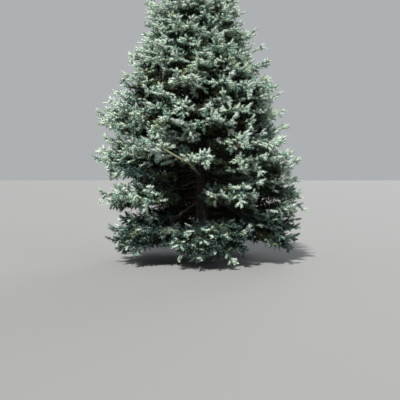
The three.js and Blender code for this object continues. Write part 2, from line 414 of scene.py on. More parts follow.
def storey_mass(zone, turn):
    """The mass of a storey that lies nearest to a turn round the trunk."""
    in_storey = [mass for mass in masses if mass.zone == zone]
    return min(in_storey, key=lambda mass: turn_between(mass.turn, turn))


# The lines that boughs follow, and the headings in which sprays leave them.
SAG_POWER = 1.4
NEARLY_UPRIGHT = 0.1


def bend(start, end, sag, count):
    """Points from start to end on a line that sags by that share of its length and lifts at its end."""
    span = end - start
    drop = span.length * sag
    return [start + span * t - UP * (drop * 4 * t * (1 - t) ** SAG_POWER) for t in np.linspace(0, 1, count)]


def place_on(points, share):
    """The place and heading at a share of the way along a line of points."""
    step = share * (len(points) - 1)
    i = min(int(step), len(points) - 2)
    return points[i].lerp(points[i + 1], step - i), (points[i + 1] - points[i]).normalized()


def turned(heading, side, angle, tilt, roll=0.0):
    """A heading that leaves another to one side, in a plane rolled round it, and then tilts up."""
    level = heading.cross(UP)
    level = level.normalized() if level.length > NEARLY_UPRIGHT else Vector((1, 0, 0))
    lift = level.cross(heading)
    across = level * math.cos(math.radians(roll)) + lift * math.sin(math.radians(roll))
    leaving = heading * math.cos(math.radians(angle)) + across * side * math.sin(math.radians(angle))
    return (leaving + UP * tilt).normalized()


# A shoot is a row of numbers: where it starts, where it points, its length, how deep it lies in the crown,
# a number from 0 to 1 that deals its spray a colour, and its age in years. Each storey has a list of them.
BASE = slice(0, 3)
HEADING = slice(3, 6)
LENGTH = 6
DEPTH = 7
DEAL = 8
AGE = 9
shoots = {}


def add_shoot(zone, base, heading, length, depth, deal, age):
    shoots.setdefault(zone, []).append((*base, *heading, length, depth, deal, age))


# A spray: its yearly step, its side sprays, and the single shoots that stand upright or hang from it.
YEAR = 0.112
SHORTEST_SHOOT = 0.075
LOWEST_SHOOT = 0.05
OVERSHOOT = 0.08
HANGING_OVERSHOOT = 0.2
HANGING_BELOW = -0.4
SPRAY_START = 0.3
SPRAY_GROWTH = 0.55
SPRAY_ANGLE = (50, 8)
SPRAY_TILT = (0.08, 0.08)
SPRAY_SIZE = (1, 0.15)
SPRAY_ROLL = (0, 12)
YEARLY_LIFT = (0.05, 0.05)
UPRIGHT_SHARE = 0.55
UPRIGHT_LIFT = (0.6, 0.2)
HANGING_SHARE = 0.12
TIP_HANGING_SHARE = 0.3
HANGING_DROP = (0.7, 0.2)
SINGLE_SHOOT = (0.12, 0.02)


def spray_reach(step, age):
    return step * (SPRAY_START + SPRAY_GROWTH * age)


def grow_spray(mass, base, heading, reach, roll, deal, cut=0.0):
    """One shoot for each year's growth, end to end, with a pair of shorter sprays at each joint."""
    overshoot = HANGING_OVERSHOOT if heading.z < HANGING_BELOW else OVERSHOOT
    reach = min(reach, mass.room(base, heading) + overshoot)
    if reach < SHORTEST_SHOOT or base.z + heading.z * reach < LOWEST_SHOOT:
        return
    years = max(1, round(reach / YEAR))
    step = reach / years
    place = base
    for age in reversed(range(years)):
        add_shoot(mass.zone, place, heading, step, mass.shade(place) - cut, deal, age)
        place = place + heading * step
        if age == 0:
            return
        for side in (-1, 1):
            leaving = turned(heading, side, varied(*SPRAY_ANGLE), varied(*SPRAY_TILT), roll)
            size = spray_reach(step, age) * varied(*SPRAY_SIZE)
            grow_spray(mass, place, leaving, size, roll + varied(*SPRAY_ROLL), deal, cut)
        if dice.random() < UPRIGHT_SHARE:
            leaving = (heading + UP * varied(*UPRIGHT_LIFT)).normalized()
            grow_spray(mass, place, leaving, varied(*SINGLE_SHOOT), roll, deal, cut)
        if dice.random() < (TIP_HANGING_SHARE if age == 1 else HANGING_SHARE):
            leaving = (heading - UP * varied(*HANGING_DROP)).normalized()
            grow_spray(mass, place, leaving, varied(*SINGLE_SHOOT), roll, deal, cut)
        heading = (heading + UP * varied(*YEARLY_LIFT)).normalized()


# A bough: its line, the sprays to its sides, and those above and below it.
BOUGH_STATIONS = 9
PROBE_SHARE = 0.7
SHORTEST_BOUGH = 0.25
BOUGH_LENGTH = (0.97, 0.05)
BOUGH_SAG = (0.05, 0.03)
WANDER = (0, 0.03)
WANDER_TURN = 0.9
BARE_SHARE = 0.25
SHORTEST_BARE = 0.12
BARE_DEPTH = 0.8
GREEN_YEARS = 6
JOINT_OVERLAP = 1.02
LOW_DROOP = -0.3
HIGH_DROOP = 0.1
DROOP_SPREAD = 0.1
FAN_ANGLE = (54, 8)
FAN_HEAD_START = 0.6
FAN_SIZE = (1, 0.2)
FAN_SLOPE = 10
LONGEST_SPRAY = 0.5
TOP_SHARE = 0.75
TOP_ANGLE = (25, 20)
TOP_TILT = (0.6, 0.2)
TOP_SIZE = (0.16, 0.05)
UNDER_ANGLE = (30, 30)
UNDER_TILT = (-1, 0.2)
UNDER_SIZE = (0.2, 0.08)
UNDER_ROLL = (0, 90)
boughs = []


def grow_bough(mass, start, aim, thickness, hanging, fullness=1.0, bare=BARE_SHARE):
    """A bough from start towards aim, with sprays to both sides in a fan, and some above and below."""
    heading = (aim - start).normalized()
    probe = start.lerp(aim, PROBE_SHARE)
    beyond = mass.room(probe, heading)
    whole = (probe - start).length + beyond
    length = whole * fullness * varied(*BOUGH_LENGTH)
    cut = whole * (1 - fullness)
    if beyond == 0 or length < SHORTEST_BOUGH:
        return
    droop = LOW_DROOP + (HIGH_DROOP - LOW_DROOP) * aim.z / tree_height
    line = bend(start, start + heading * length, varied(*BOUGH_SAG), BOUGH_STATIONS)
    across = heading.cross(UP).normalized() * length * varied(*WANDER)
    line = [point + across * math.sin(i * WANDER_TURN) for i, point in enumerate(line)]
    boughs.append((line, thickness))
    roll = varied(*SPRAY_ROLL)
    place = max(bare * length, SHORTEST_BARE)
    years = max(1, round((length - place) / YEAR))
    step = (length - place) / years
    for age in reversed(range(years)):
        base, along = place_on(line, place / length)
        place += step
        depth = mass.shade(base) - cut
        if depth > BARE_DEPTH:
            continue
        if age < GREEN_YEARS:
            add_shoot(mass.zone, base, along, step * JOINT_OVERLAP, depth, dice.random(), age)
        for side in (-1, 1):
            leaving = turned(along, side, varied(*FAN_ANGLE), varied(droop, DROOP_SPREAD), roll)
            size = min(spray_reach(step, age + FAN_HEAD_START), LONGEST_SPRAY) * varied(*FAN_SIZE)
            grow_spray(mass, base, leaving, size, roll + side * FAN_SLOPE, dice.random(), cut)
        if dice.random() < TOP_SHARE:
            leaving = turned(along, dice.choice((-1, 1)), varied(*TOP_ANGLE), varied(*TOP_TILT))
            grow_spray(mass, base, leaving, varied(*TOP_SIZE), 0, dice.random(), cut)
        if dice.random() < hanging:
            leaving = turned(along, dice.choice((-1, 1)), varied(*UNDER_ANGLE), varied(*UNDER_TILT))
            grow_spray(mass, base, leaving, varied(*UNDER_SIZE), varied(*UNDER_ROLL), dice.random(), cut)


# Boughs that go further to the side leave their limb nearer the trunk.
LIMB_USED = 0.65
LIMB_CROWDING = 0.7
FORK_SHIFT = (0.85, 0.15)
START_IN_TRUNK = 0.8


def limb_start(limb, share):
    """Where a bough leaves its limb, if it goes to that share of the width that the limb carries."""
    back = LIMB_USED * min(abs(share), 1) ** LIMB_CROWDING * varied(*FORK_SHIFT)
    start, _ = place_on(limb_lines[limb], 1 - back)
    return start


def trunk_start(height, outward):
    """Where a bough leaves the trunk, just under its bark."""
    return trunk_middle(height) + outward * trunk_radius(height) * START_IN_TRUNK


# How a mass is filled with boughs: how far they are apart, and how near they come to its sides.
BOUGH_GAP_ROUND = 0.5
BOUGH_GAP_UP = 0.21
LIMB_GAP_UP = 0.27
FEWEST_ACROSS = 3
WIDTH_TAKEN_AT = 0.72
SIDE_FILL = 0.9
SIDE_SHIFT = (0, 0.08)
FAR_FILL = 0.92
FAR_SHIFT = (0, 0.06)
NEAR_FILL = 0.8
NEAR_SHIFT = (0, 0.05)
LOWEST_LAYER_HANGING = 0.75
FORK_THICKNESS = 0.6
THINNEST_BOUGH = 0.009
BOUGH_THICKENING = 0.005
FAN_POINT = 0.2
FAN_CURVE = 1.5
FRONT_TUFT_SHARE = 0.3
TOWARDS_VIEWER = math.radians(-90)

# The arch's mass in front of the trunk is only a tuft, so that the window beside it stays open.
front_tuft = storey_mass("arch", TOWARDS_VIEWER)


def grow_mass(mass):
    """The boughs of one mass: in layers, and side by side across its width."""
    limb = mass.node.replace("foliage", "bough")
    on_limb = limb in limb_lines
    width = 2 * mass.spread * mass.outer * WIDTH_TAKEN_AT
    across = max(FEWEST_ACROSS, round(width / BOUGH_GAP_ROUND))
    layers = max(2, round(2 * mass.deep / (LIMB_GAP_UP if on_limb else BOUGH_GAP_UP)) + 1)
    for layer in range(layers):
        level = layer / (layers - 1) * 2 - 1
        hanging = LOWEST_LAYER_HANGING if layer == 0 else HANGING_SHARE
        count = max(across if layer % 2 == 0 else across - 1, 1)
        for k in range(count):
            share = ((k + 0.5) / count * 2 - 1) * SIDE_FILL + varied(*SIDE_SHIFT)
            outward = outward_at(mass.turn + share * mass.spread)
            far_height = mass.far + level * mass.deep * FAR_FILL + varied(*FAR_SHIFT)
            aim = trunk_middle(far_height) + outward * mass.outer
            if on_limb:
                start = limb_start(limb, share)
                thickness = limb_sizes[limb] * FORK_THICKNESS
            else:
                near_height = mass.near + level * mass.deep * NEAR_FILL + varied(*NEAR_SHIFT)
                start = trunk_start(near_height, outward)
                thickness = THINNEST_BOUGH + BOUGH_THICKENING * mass.outer
            if abs(share) < FRONT_TUFT_SHARE or mass is not front_tuft:
                fullness = 1 - FAN_POINT * abs(share) ** FAN_CURVE if on_limb else 1
                grow_bough(mass, start, aim, thickness, hanging, fullness)


for mass in masses:
    if mass.zone != "spire":
        grow_mass(mass)


# The boughs between the masses: thinner ones that fill the space from storey to storey and from mass to
# mass, out to a line that joins the tips, so that only small notches stay open in the outline. Low down
# they are bare near the trunk and leave the window in front and the gap below the right shoulder open.
GAP_REACH = 0.97
LEAST_OUTWARD = 0.3
GAP_ROW_STEP = 0.24
GAP_BOUGH_SPACING = 0.62
GAP_BOUGH_THICKNESS = 0.011
GAP_HANGING = 0.24
GAP_START_DROP = (0.05, 0.05)
GAP_TURN_SHIFT = (0.5, 0.2)
GAP_HEIGHT_SHIFT = (0, 0.04)
SEAM_LEVELS = (-0.45, 0.45)
SEAM_TURN_SHIFT = (0, 0.08)
TIERS = sorted({mass.zone for mass in masses if mass.zone.startswith("tier")})
STOREYS = ["skirt", "shoulder", "arch"] + TIERS + ["spire"]
OPEN_FRONT = (math.radians(-110), math.radians(-52))


def crown_reach(height, turn):
    """How far the crown reaches at a height, on a line from tip to tip of the storeys."""
    tips = sorted((storey_mass(zone, turn).far, storey_mass(zone, turn).outer) for zone in STOREYS)
    return np.interp(height, [tip[0] for tip in tips], [tip[1] for tip in tips])


class Gap:
    """The space between two storeys, in which boughs grow as they do in a mass."""

    def __init__(self, zone, share=GAP_REACH, reach=None):
        self.zone = zone
        self.share = share
        self.reach = reach

    def to_outline(self, place):
        outward = place - trunk_middle(place.z)
        reach = self.reach or self.share * crown_reach(place.z, math.atan2(outward.y, outward.x))
        return max(reach - outward.length, 0.0), outward.normalized()

    def room(self, start, heading):
        left, outward = self.to_outline(start)
        return left / max(heading.dot(outward), LEAST_OUTWARD)

    def shade(self, place):
        return self.to_outline(place)[0]


def free_height(lower, upper, turn):
    """The foot of the space between two storeys at a turn, and its height."""
    below, above = storey_mass(lower, turn), storey_mass(upper, turn)
    foot_height = below.far + below.deep
    return foot_height, above.far - above.deep - foot_height


def grow_gap_bough(gap, height, turn, start=None, bare=BARE_SHARE):
    """A bough to the tips' line at a height and turn, from the trunk if no other start is given."""
    outward = outward_at(turn)
    aim = trunk_middle(height) + outward * crown_reach(height, turn)
    if start is None:
        start = trunk_start(height - varied(*GAP_START_DROP), outward)
    grow_bough(gap, start, aim, GAP_BOUGH_THICKNESS, GAP_HANGING, bare=bare)


def in_open_front(turn):
    return OPEN_FRONT[0] < (turn + math.pi) % (2 * math.pi) - math.pi < OPEN_FRONT[1]


for lower, upper in zip(["arch"] + TIERS, TIERS + ["spire"]):
    gap = Gap(upper)
    middle_reach = (storey_mass(lower, 0).outer + storey_mass(upper, 0).outer) / 2
    count = round(2 * math.pi * middle_reach / GAP_BOUGH_SPACING)
    for k in range(count):
        turn = 2 * math.pi * (k + varied(*GAP_TURN_SHIFT)) / count
        if lower == "arch" and in_open_front(turn):
            continue
        foot_height, free = free_height(lower, upper, turn)
        rows = math.ceil(free / GAP_ROW_STEP)
        for row in range(rows):
            height = foot_height + free * (row + 0.5) / rows + varied(*GAP_HEIGHT_SHIFT)
            grow_gap_bough(gap, height, turn)

for zone in TIERS:
    gap = Gap(zone)
    tier = sorted((mass for mass in masses if mass.zone == zone), key=lambda mass: mass.turn)
    for first, second in zip(tier, tier[1:] + tier[:1]):
        seam = first.turn + (second.turn - first.turn) % (2 * math.pi) / 2
        for level in SEAM_LEVELS:
            height = (first.far + second.far) / 2 + level * first.deep + varied(*GAP_HEIGHT_SHIFT)
            grow_gap_bough(gap, height, seam + varied(*SEAM_TURN_SHIFT))

# Between the low storeys they start on the limbs. Each stretch has its first and last turn in degrees, the
# share of a bough that is bare, and how far the boughs reach, as a share of the way to the tips' line.
LOW_ROWS = 2
LOW_SPACING = 17
LOW_TURN_SHIFT = (0, 3)
LOW_GAPS = {
    ("skirt", "shoulder"): ((-40, 30, 0.45, 0.97), (112, 160, 0.25, 0.9), (175, 215, 0.25, 0.7)),
    ("shoulder", "arch"): ((-42, 80, 0.3, 0.97), (115, 160, 0.25, 0.9), (165, 222, 0.25, 0.7)),
}
for (lower, upper), stretches in LOW_GAPS.items():
    for first, last, bare, share in stretches:
        gap = Gap(upper, share)
        for row in range(LOW_ROWS):
            for turn in np.arange(first + row * LOW_SPACING / 2, last, LOW_SPACING):
                turn = math.radians(turn + varied(*LOW_TURN_SHIFT))
                foot_height, free = free_height(lower, upper, turn)
                carrier = storey_mass((lower, upper)[row], turn)
                limb = carrier.node.replace("foliage", "bough")
                start = limb_start(limb, turn_between(turn, carrier.turn) / carrier.spread)
                grow_gap_bough(gap, foot_height + free * (row + 0.5) / LOW_ROWS, turn, start, bare)


# Single boughs that reach out from under the first tier into the light, with sprays at their ends. They
# start on the trunk or on a low limb and are bare near it, where no light comes in.
ROW_FOOT_SHIFT = (0, 0.1)
ROW_HEIGHT_SHIFT = (0, 0.03)
ROW_TURN_SHIFT = (0, 3)


def grow_row(zone, turns, heights, reach, bare, foot=None, limb=None):
    """Boughs at some heights and turns that reach equally far, from a foot on the trunk or from a limb."""
    gap = Gap(zone, reach=reach)
    for height in heights:
        for turn in turns:
            if limb:
                start = limb_start(limb, dice.random())
            else:
                start = trunk_middle(foot + varied(*ROW_FOOT_SHIFT))
            row_height = height + varied(*ROW_HEIGHT_SHIFT)
            row_turn = math.radians(turn + varied(*ROW_TURN_SHIFT))
            grow_gap_bough(gap, row_height, row_turn, start, bare)


# Two layers and a lower fan to the right of the trunk.
grow_row("arch", turns=(-64, -51, -38, -25), heights=(1.99, 2.24), reach=1.87, bare=0.4, foot=2.05)
grow_row("arch", turns=(-62, -48), heights=(1.56, 1.78), reach=1.7, bare=0.4, foot=1.75)
grow_row("shoulder", turns=(-78, -66, -55), heights=(1.36,), reach=1.65, bare=0.5, foot=1.4)

# Two layers low on the left.
grow_row(
    "shoulder", turns=(-150, -137, -124), heights=(1.16, 1.38), reach=1.7, bare=0.3, limb="bough_shoulder_4"
)
grow_row("arch", turns=(-152, -140, -128), heights=(1.68,), reach=1.8, bare=0.45, foot=1.8)

# A long pair to the left of the trunk, and the tuft in front of it.
grow_row("arch", turns=(-123, -113), heights=(2.05,), reach=2.03, bare=0.6, foot=1.74)
grow_row("arch", turns=(-100, -91), heights=(1.97,), reach=1.8, bare=0.6, foot=2.05)


# One young limb in pale tan bark comes forward from the trunk, bare, and forks to the left, where the sun
# falls on it. Its bark is paler partly as painted light, so that it shows as lit even where it lies in
# shade. Only the fork has sprays, and each of them is set at its own share of the way along it.
YOUNG_LIMB_FOOT = 1.66
YOUNG_FORK = {"turn": -98, "reach": 1.52, "height": 1.86}
YOUNG_END = {"turn": -111, "reach": 1.97, "height": 2.13}
YOUNG_SAG = 0.02
YOUNG_SPRAY = 0.35
YOUNG_ANGLE = 50
YOUNG_SPRAYS = (
    {"share": 0.99, "side": 1, "tilt": 0},
    {"share": 0.9, "side": 1, "tilt": 0},
    {"share": 0.85, "side": -1, "tilt": 0},
    {"share": 0.7, "side": 1, "tilt": -0.3},
    {"share": 0.5, "side": 1, "tilt": -0.5},
    {"share": 0.3, "side": 1, "tilt": -0.6},
)


def beside_trunk(place):
    return trunk_middle(place["height"]) + outward_at(math.radians(place["turn"])) * place["reach"]


young_lines = [
    bend(trunk_middle(YOUNG_LIMB_FOOT), beside_trunk(YOUNG_FORK), YOUNG_SAG, BOUGH_STATIONS),
    bend(beside_trunk(YOUNG_FORK), beside_trunk(YOUNG_END), YOUNG_SAG, BOUGH_STATIONS),
]
young_gap = Gap("arch", reach=YOUNG_END["reach"] + OVERSHOOT)
for spray in YOUNG_SPRAYS:
    base, along = place_on(young_lines[1], spray["share"])
    leaving = turned(along, spray["side"], YOUNG_ANGLE, spray["tilt"])
    grow_spray(young_gap, base, leaving, YOUNG_SPRAY, 0, dice.random())


# The inner boughs: older and darker ones at every height, so that no sky shows through the crown. Their
# dark colour is partly painted shade. They stop well inside the crown, and low down they leave the window in
# front open.
INNER_FOOT = 1.42
INNER_TOP = 5.9
INNER_STEP = 0.15
INNER_ROUND = 7
INNER_STEP_TURN = 31
INNER_REACH = 0.62
INNER_REACH_SHIFT = (0.95, 0.08)
INNER_LIFT = (0.05, 0.12)
INNER_BARE = 0.3
INNER_THICKNESS = 0.01
INNER_SPACING = 0.11
INNER_TWIG = 0.24
INNER_TWIG_SIZE = (1, 0.3)
INNER_ANGLE = (50, 20)
INNER_TILT = (-0.1, 0.4)
INNER_DEPTH = 1.0
INNER_AGE = 9
FULL_TWIG_REACH = 0.85
WINDOW_TOP = 1.95
WINDOW_TURN_STEP = 30
CLOSED_TURNS = ((-60, 70, 0.2), (115, 190, 0.5))


def grow_inner_bough(height, turn, bare, share=INNER_REACH):
    """A bough with three dark twigs at each joint, which are counted with the storey nearest in height."""
    outward = Vector((math.cos(turn), math.sin(turn), varied(*INNER_LIFT))).normalized()
    reach = crown_reach(height, turn) * share * varied(*INNER_REACH_SHIFT)
    zone = min(STOREYS[2:-1], key=lambda name: abs(storey_mass(name, turn).far - height))
    twig = INNER_TWIG * min(reach / FULL_TWIG_REACH, 1)
    start = trunk_start(height, outward)
    line = bend(start, start + outward * reach, varied(*BOUGH_SAG), BOUGH_STATIONS)
    boughs.append((line, INNER_THICKNESS))
    for place in np.arange(bare * reach, reach, INNER_SPACING):
        base, along = place_on(line, place / reach)
        for side, tilt in ((-1, 0), (1, 0), (dice.choice((-1, 1)), dice.choice((-1, 1)))):
            leaving = turned(along, side, varied(*INNER_ANGLE), tilt + varied(*INNER_TILT))
            length = twig * varied(*INNER_TWIG_SIZE)
            add_shoot(zone, base, leaving, length, INNER_DEPTH, dice.random(), INNER_AGE)


inner_height = INNER_FOOT
inner_turn = 0.0
while inner_height < INNER_TOP:
    open_low_down = inner_height < WINDOW_TOP
    for first, last, bare in CLOSED_TURNS if open_low_down else ((0, 360, INNER_BARE),):
        turn_step = WINDOW_TURN_STEP if open_low_down else 360 / INNER_ROUND
        for turn in np.arange(first, last, turn_step):
            grow_inner_bough(inner_height, math.radians(turn + inner_turn % turn_step), bare)
    inner_turn += INNER_STEP_TURN
    inner_height += INNER_STEP

# Low down behind the trunk more of them close the crown, so that the window and the gap below the right
# shoulder look into its dark inside.
BEHIND_HEIGHT_SHIFT = (0, 0.04)
BEHIND_TURN_SHIFT = (0, 4)


def grow_behind(heights, turns, bare, share):
    for height in heights:
        for turn in turns:
            turn = math.radians(turn + varied(*BEHIND_TURN_SHIFT))
            grow_inner_bough(height + varied(*BEHIND_HEIGHT_SHIFT), turn, bare, share)


grow_behind(heights=(0.89, 0.97, 1.05, 1.13, 1.21, 1.29), turns=range(23, 152, 10), bare=0.3, share=0.8)
grow_behind(heights=(1.40, 1.50, 1.60, 1.70, 1.80), turns=range(86, 136, 10), bare=0.4, share=INNER_REACH)


# The underside of the skirt: its boughs lift towards their tips, so the foliage clears the ground by more
# the further out it is. Shoots that end below that slope are left out.
UNDERSIDE_START = 1.42
UNDERSIDE_SLOPE = 0.62


def clears_underside(shoot):
    end = Vector(shoot[BASE]) + Vector(shoot[HEADING]) * shoot[LENGTH]
    reach = (end - trunk_middle(end.z)).length
    return end.z > LOWEST_SHOOT + UNDERSIDE_SLOPE * (reach - UNDERSIDE_START)


shoots["skirt"] = [shoot for shoot in shoots["skirt"] if clears_underside(shoot)]


# The underside of the arch, low on the left, lies in the shade of the layer above, and its sprays there are
# given darker colours as painted shade. Each shoot there counts as deeper in the crown and older than it was
# grown, which deals it a darker tint.
SHADED_SIDES = (-1.42, -0.65)
SHADED_FOOT = 1.5
SHADED_TOP = 1.75
SHADED_RISE = 0.22
SHADED_DEPTH = 0.31
SHADED_AGE = 4


def in_shade(shoot):
    x, y, z = shoot[BASE]
    top = SHADED_TOP + SHADED_RISE * (SHADED_SIDES[1] - x)
    return SHADED_SIDES[0] < x < SHADED_SIDES[1] and SHADED_FOOT < z < top and y < 0


# Painted shade: the shoot is counted deeper and older, so that it is dealt a darker tint.
def with_painted_shade(shoot):
    return (*shoot[:DEPTH], max(shoot[DEPTH], SHADED_DEPTH), shoot[DEAL], max(shoot[AGE], SHADED_AGE))


shoots["arch"] = [with_painted_shade(shoot) if in_shade(shoot) else shoot for shoot in shoots["arch"]]


# The spire: short boughs in whorls that climb steeply round the leader, and the leader's own long shoot.
# All of it is young wood, so it carries needles along its whole length.
WHORL_FOOT = 0.06
WHORL_STEP = 0.145
WHORL_SIZE = 5
WHORL_TURN = 0.7
WHORL_LIFT = (0.8, 0.15)
WHORL_ROLL = (0, 20)
WHORL_REACH = 1
LEADER_BARK = 0.02
LEADER_SHOOT = 0.26

spire = next(mass for mass in masses if mass.zone == "spire")
spire_low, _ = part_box(spire.node)
whorl_height = spire_low.z + WHORL_FOOT
whorl_turn = 0.0
while whorl_height < tree_height - LEADER_SHOOT:
    for k in range(WHORL_SIZE):
        outward = outward_at(whorl_turn + 2 * math.pi * k / WHORL_SIZE)
        heading = (outward + UP * varied(*WHORL_LIFT)).normalized()
        start = trunk_middle(whorl_height) + outward * (trunk_radius(whorl_height) + LEADER_BARK)
        grow_spray(spire, start, heading, WHORL_REACH, varied(*WHORL_ROLL), dice.random())
    whorl_turn += WHORL_TURN
    whorl_height += WHORL_STEP
add_shoot("spire", trunk_middle(tree_height - LEADER_SHOOT), UP, LEADER_SHOOT, 0, 0, 0)


# The meshes of the boughs: closed tubes that taper along their lines, in the same bark as the low limbs.
# The young limb has a finer bark of its own, paler partly as painted light.
STEEP = 0.96
SHORTEST_VECTOR = 1e-9
BOUGH_SIDES = 6
BOUGH_THIN_END = 0.3
YOUNG_SIDES = 8
YOUNG_THIN_END = 0.75
YOUNG_THICKNESS = (0.022, 0.020)
# Painted light in part: a pale tan, so that the young limb reads as lit even where it is in shade.
YOUNG_BARK_AND_LIGHT = {"crack": (0.15, 0.14, 0.08), "scale": (0.26, 0.27, 0.16), "worn": (0.33, 0.33, 0.21)}
TWIG_GRAIN = 0.012


def unit(vectors):
    return vectors / np.maximum(np.linalg.norm(vectors, axis=-1, keepdims=True), SHORTEST_VECTOR)


def side_vectors(headings):
    """For each heading, two unit vectors square to it and to each other."""
    upright = np.abs(headings[..., 2:3]) > STEEP
    guide = np.where(upright, np.array([1.0, 0, 0]), np.array([0, 0, 1.0]))
    first = unit(np.cross(headings, guide))
    return first, np.cross(first, headings)


def rings(headings, sides):
    """For each heading, unit vectors to the corners of a ring square to it."""
    first, second = side_vectors(headings)
    angles = np.arange(sides) * 2 * math.pi / sides
    return first[..., None, :] * np.cos(angles)[:, None] - second[..., None, :] * np.sin(angles)[:, None]


def copies(points, faces):
    """All points in one list, and the faces of the first copy repeated for each of the others."""
    count, points_each = points.shape[:2]
    corners = np.array(faces)[None] + (np.arange(count) * points_each)[:, None, None]
    return points.reshape(-1, 3), corners.reshape(-1, 3)


def tubes(lines, thickness, thin_share, sides):
    """Closed tapering tubes along lines, which all have the same number of points."""
    lines = np.array(lines, float)
    count, stations = lines.shape[:2]
    taper = 1 - (1 - thin_share) * np.linspace(0, 1, stations)
    radii = np.array(thickness)[:, None] * taper[None, :]
    ring = rings(unit(np.gradient(lines, axis=1)), sides)
    points = lines[:, :, None] + ring * radii[:, :, None, None]
    points = np.concatenate([points.reshape(count, -1, 3), lines[:, :1], lines[:, -1:]], axis=1)
    faces = []
    for station in range(stations - 1):
        for side in range(sides):
            a = station * sides + side
            b = station * sides + (side + 1) % sides
            faces += [(a, b, b + sides), (a, b + sides, a + sides)]
    last = (stations - 1) * sides
    for side in range(sides):
        after = (side + 1) % sides
        faces.append((stations * sides, after, side))
        faces.append((stations * sides + 1, last + side, last + after))
    return copies(points, faces)


def mesh_piece(name, points, corners, paints, slot, paint_numbers=None):
    mesh = bpy.data.meshes.new(name)
    mesh.vertices.add(len(points))
    mesh.vertices.foreach_set("co", points.astype(np.float32).ravel())
    mesh.loops.add(corners.size)
    mesh.loops.foreach_set("vertex_index", corners.astype(np.int32).ravel())
    mesh.polygons.add(len(corners))
    mesh.polygons.foreach_set("loop_start", np.arange(0, corners.size, 3, dtype=np.int32))
    if paint_numbers is not None:
        mesh.polygons.foreach_set("material_index", paint_numbers.astype(np.int32))
    for paint in paints:
        mesh.materials.append(paint)
    mesh.update(calc_edges=True)
    piece = bpy.data.objects.new(name, mesh)
    bpy.context.scene.collection.objects.link(piece)
    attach(piece, "root")
    return piece


bough_lines, bough_sizes = zip(*boughs)
bough_part = tubes(bough_lines, bough_sizes, BOUGH_THIN_END, BOUGH_SIDES)
young_part = tubes(young_lines, YOUNG_THICKNESS, YOUNG_THIN_END, YOUNG_SIDES)
young_bark = bark_material("young_bark", YOUNG_BARK_AND_LIGHT, TWIG_GRAIN)
mesh_piece("crown_boughs", *bough_part, [bough_bark], "bough_bark")
mesh_piece("young_limb", *young_part, [young_bark], "bough_bark")


# The stems of the older shoots: thin brown twigs that show between the needles inside the crown. Each is a
# closed three-sided spike along its shoot, and stems that lie too deep to be seen are left out.
STEM_SIDES = 3
STEM_THICKNESS = 0.0032
STEM_STRETCH = 1.3
NEW_DEPTH = 0.42
HIDDEN_DEPTH = 0.62
TWIG_BARK = {"crack": (0.02, 0.016, 0.011), "scale": (0.08, 0.058, 0.038), "worn": (0.15, 0.12, 0.085)}


def spikes(rows):
    bases, headings, lengths = rows[:, BASE], rows[:, HEADING], rows[:, LENGTH] * STEM_STRETCH
    feet = bases[:, None] + rings(headings, STEM_SIDES) * STEM_THICKNESS
    tips = bases + headings * lengths[:, None]
    points = np.concatenate([feet, tips[:, None]], axis=1)
    return copies(points, [(0, 1, 3), (1, 2, 3), (2, 0, 3), (2, 1, 0)])


zones = sorted(shoots)
all_rows = np.array([row for zone in zones for row in shoots[zone]])
stem_shows = (all_rows[:, DEPTH] < HIDDEN_DEPTH) | (all_rows[:, AGE] == INNER_AGE)
stem_part = spikes(all_rows[(all_rows[:, DEPTH] >= NEW_DEPTH) & stem_shows])
mesh_piece("crown_twigs", *stem_part, [bark_material("twig_bark", TWIG_BARK, TWIG_GRAIN)], "bough_bark")


# The needles: stiff, pointed, and set all round the shoot like a bottle brush, leaning towards its tip.
# New growth near the outside is waxy and pale blue, and the older needles further in are dark green,
# darkened further as painted shade for the shade deep in the crown. The new ones stand so close that they
# hide the
# stem: a slim core of the same colour takes its place.
NEW_NEEDLE = {
    "length": 0.0385,
    "width": 0.0190,
    "step": 0.0036,
    "depths": (0, NEW_DEPTH),
    "fullness": (1, 0.6),
}
OLD_NEEDLE = {
    "length": 0.046,
    "width": 0.0320,
    "step": 0.0113,
    "depths": (0.45, 0.7),
    "fullness": (0.85, 0.45),
}
FEWEST_NEEDLES = 6
NEEDLE_ROOTS_END = 0.97
LEAN_AT_BASE = 72
LEAN_AT_TIP = 42
LEAN_SPREAD = 6
ROLL_SPREAD = 0.6
ROSETTE_SHARE = 0.12
NEEDLE_LIFT = 0.1
SHORTEST_NEEDLE = 0.85
LENGTH_SPREAD = 0.3
FULL_TURN = 6.28
GOLDEN_TURN = 2.39996
NEEDLE_ROUGHNESS = 0.6
NEEDLE_GLOSS = 0.3
NEW_TINTS = {
    "silver": (0.462, 0.548, 0.500),
    "pale_blue": (0.43, 0.53, 0.435),
    "blue_grey": (0.190, 0.300, 0.243),
    "sage": (0.118, 0.160, 0.100),
    "slate": (0.051, 0.093, 0.079),
    # Painted shade: the darkest tint, dealt only to the skirt's shaded sprays.
    "deep_slate": (0.024, 0.045, 0.040),
    "moss": (0.27, 0.34, 0.22),
}
# Painted shade in part: the old needles' tints are darker than old needles are, for the shade inside the
# crown.
OLD_AND_SHADE_TINTS = {
    "deep_blue_green": (0.024, 0.048, 0.040),
    "dark_green": (0.020, 0.037, 0.016),
    "olive": (0.046, 0.053, 0.021),
    "shadow": (0.014, 0.024, 0.011),
}

chance = np.random.default_rng(SEED)


def needle_material(name, tint):
    needles = bpy.data.materials.new("needles_" + name)
    needles.use_nodes = True
    shader = needles.node_tree.nodes["Principled BSDF"]
    shader.inputs["Base Color"].default_value = (*tint, 1)
    shader.inputs["Roughness"].default_value = NEEDLE_ROUGHNESS
    shader.inputs["Specular IOR Level"].default_value = NEEDLE_GLOSS
    return needles


